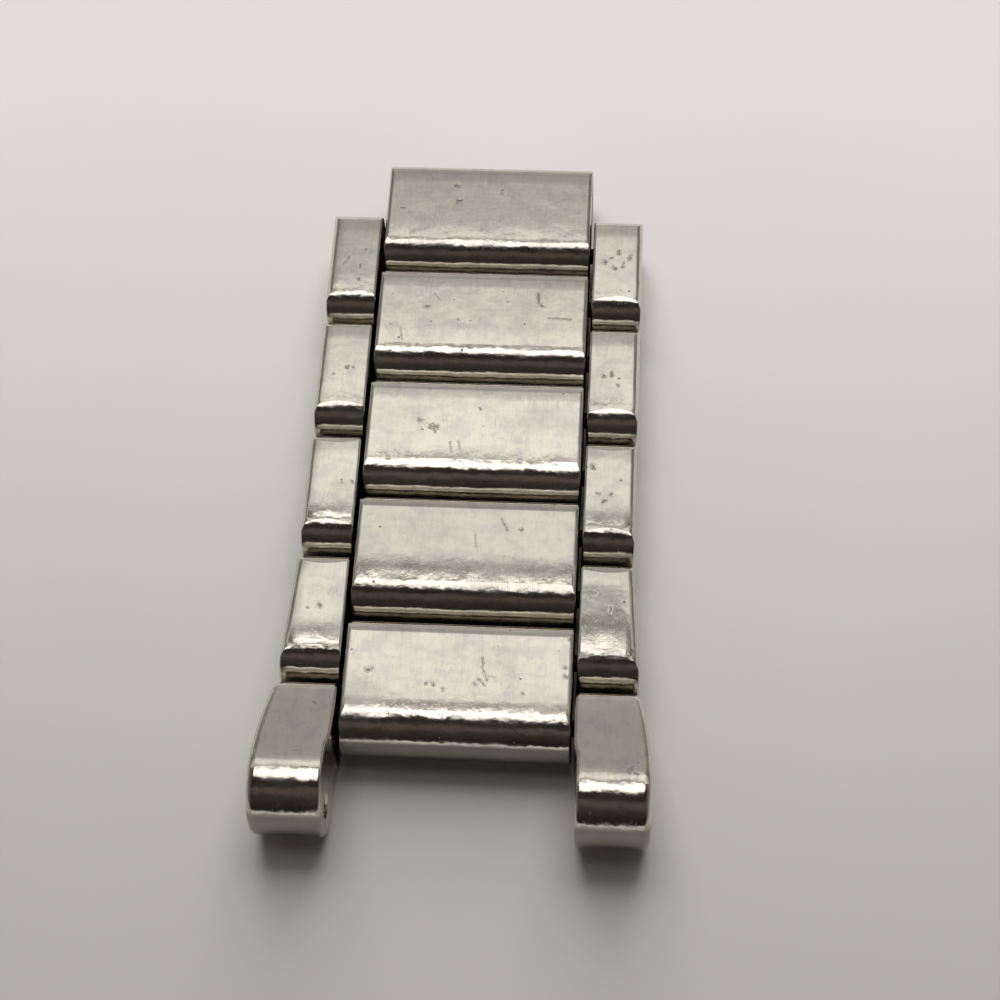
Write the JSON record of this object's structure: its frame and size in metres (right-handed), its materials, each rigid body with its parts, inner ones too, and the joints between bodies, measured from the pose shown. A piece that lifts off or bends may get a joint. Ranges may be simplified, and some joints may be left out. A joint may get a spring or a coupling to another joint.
{
  "type": "watch bracelet section",
  "caption": "Case-end section of a steel watch bracelet: hinged wide centre links, staggered outer links and flared end lugs with bar bores.",
  "frame": {"origin": "middle of the bounding box on the underside that lies on the table", "axes": "+X across the bracelet, +Y along it from the case end lugs to the free end, +Z out of the side seen on the wrist"},
  "size_m": [0.0226, 0.0454, 0.0058],
  "materials": {
    "polished_steel": "polished stainless steel, worn and lightly scratched",
    "pin_steel": "ground steel"
  },
  "bodies": {
    "centre_1": {"centre_link_1": "polished_steel"},
    "centre_2": {"centre_link_2": "polished_steel"},
    "centre_3": {"centre_link_3": "polished_steel"},
    "centre_4": {"centre_link_4": "polished_steel"},
    "centre_5": {"centre_link_5": "polished_steel"},
    "outer_1": {"outer_link_left_1": "polished_steel", "outer_link_right_1": "polished_steel", "hinge_pin_1": "pin_steel", "hinge_pin_2": "pin_steel"},
    "outer_2": {"outer_link_left_2": "polished_steel", "outer_link_right_2": "polished_steel", "hinge_pin_3": "pin_steel", "hinge_pin_4": "pin_steel"},
    "outer_3": {"outer_link_left_3": "polished_steel", "outer_link_right_3": "polished_steel", "hinge_pin_5": "pin_steel", "hinge_pin_6": "pin_steel"},
    "outer_4": {"outer_link_left_4": "polished_steel", "outer_link_right_4": "polished_steel", "hinge_pin_7": "pin_steel", "hinge_pin_8": "pin_steel"},
    "end_lugs": {"end_lug_left": "polished_steel", "end_lug_right": "polished_steel", "hinge_pin_9": "pin_steel"}
  },
  "joints": [
    {"name": "hinge_5", "type": "hinge", "parent": "centre_3", "child": "outer_3", "pos_m": [0, 0.00075, 0.0021], "axis": [1, 0, 0], "range_deg": [-20, 30]},
    {"name": "hinge_6", "type": "hinge", "parent": "outer_3", "child": "centre_4", "pos_m": [0, -0.00333, 0.0021], "axis": [1, 0, 0], "range_deg": [-20, 30]},
    {"name": "hinge_7", "type": "hinge", "parent": "centre_4", "child": "outer_4", "pos_m": [0, -0.0074, 0.0021], "axis": [1, 0, 0], "range_deg": [-20, 30]},
    {"name": "hinge_8", "type": "hinge", "parent": "outer_4", "child": "centre_5", "pos_m": [0, -0.01148, 0.0021], "axis": [1, 0, 0], "range_deg": [-20, 30]},
    {"name": "hinge_9", "type": "hinge", "parent": "centre_5", "child": "end_lugs", "pos_m": [0, -0.01555, 0.0021], "axis": [1, 0, 0], "range_deg": [-20, 30]},
    {"name": "hinge_4", "type": "hinge", "parent": "centre_3", "child": "outer_2", "pos_m": [0, 0.00482, 0.0021], "axis": [-1, 0, 0], "range_deg": [-20, 30]},
    {"name": "hinge_3", "type": "hinge", "parent": "outer_2", "child": "centre_2", "pos_m": [0, 0.0089, 0.0021], "axis": [-1, 0, 0], "range_deg": [-20, 30]},
    {"name": "hinge_2", "type": "hinge", "parent": "centre_2", "child": "outer_1", "pos_m": [0, 0.01297, 0.0021], "axis": [-1, 0, 0], "range_deg": [-20, 30]},
    {"name": "hinge_1", "type": "hinge", "parent": "outer_1", "child": "centre_1", "pos_m": [0, 0.01705, 0.0021], "axis": [-1, 0, 0], "range_deg": [-20, 30]}
  ]
}
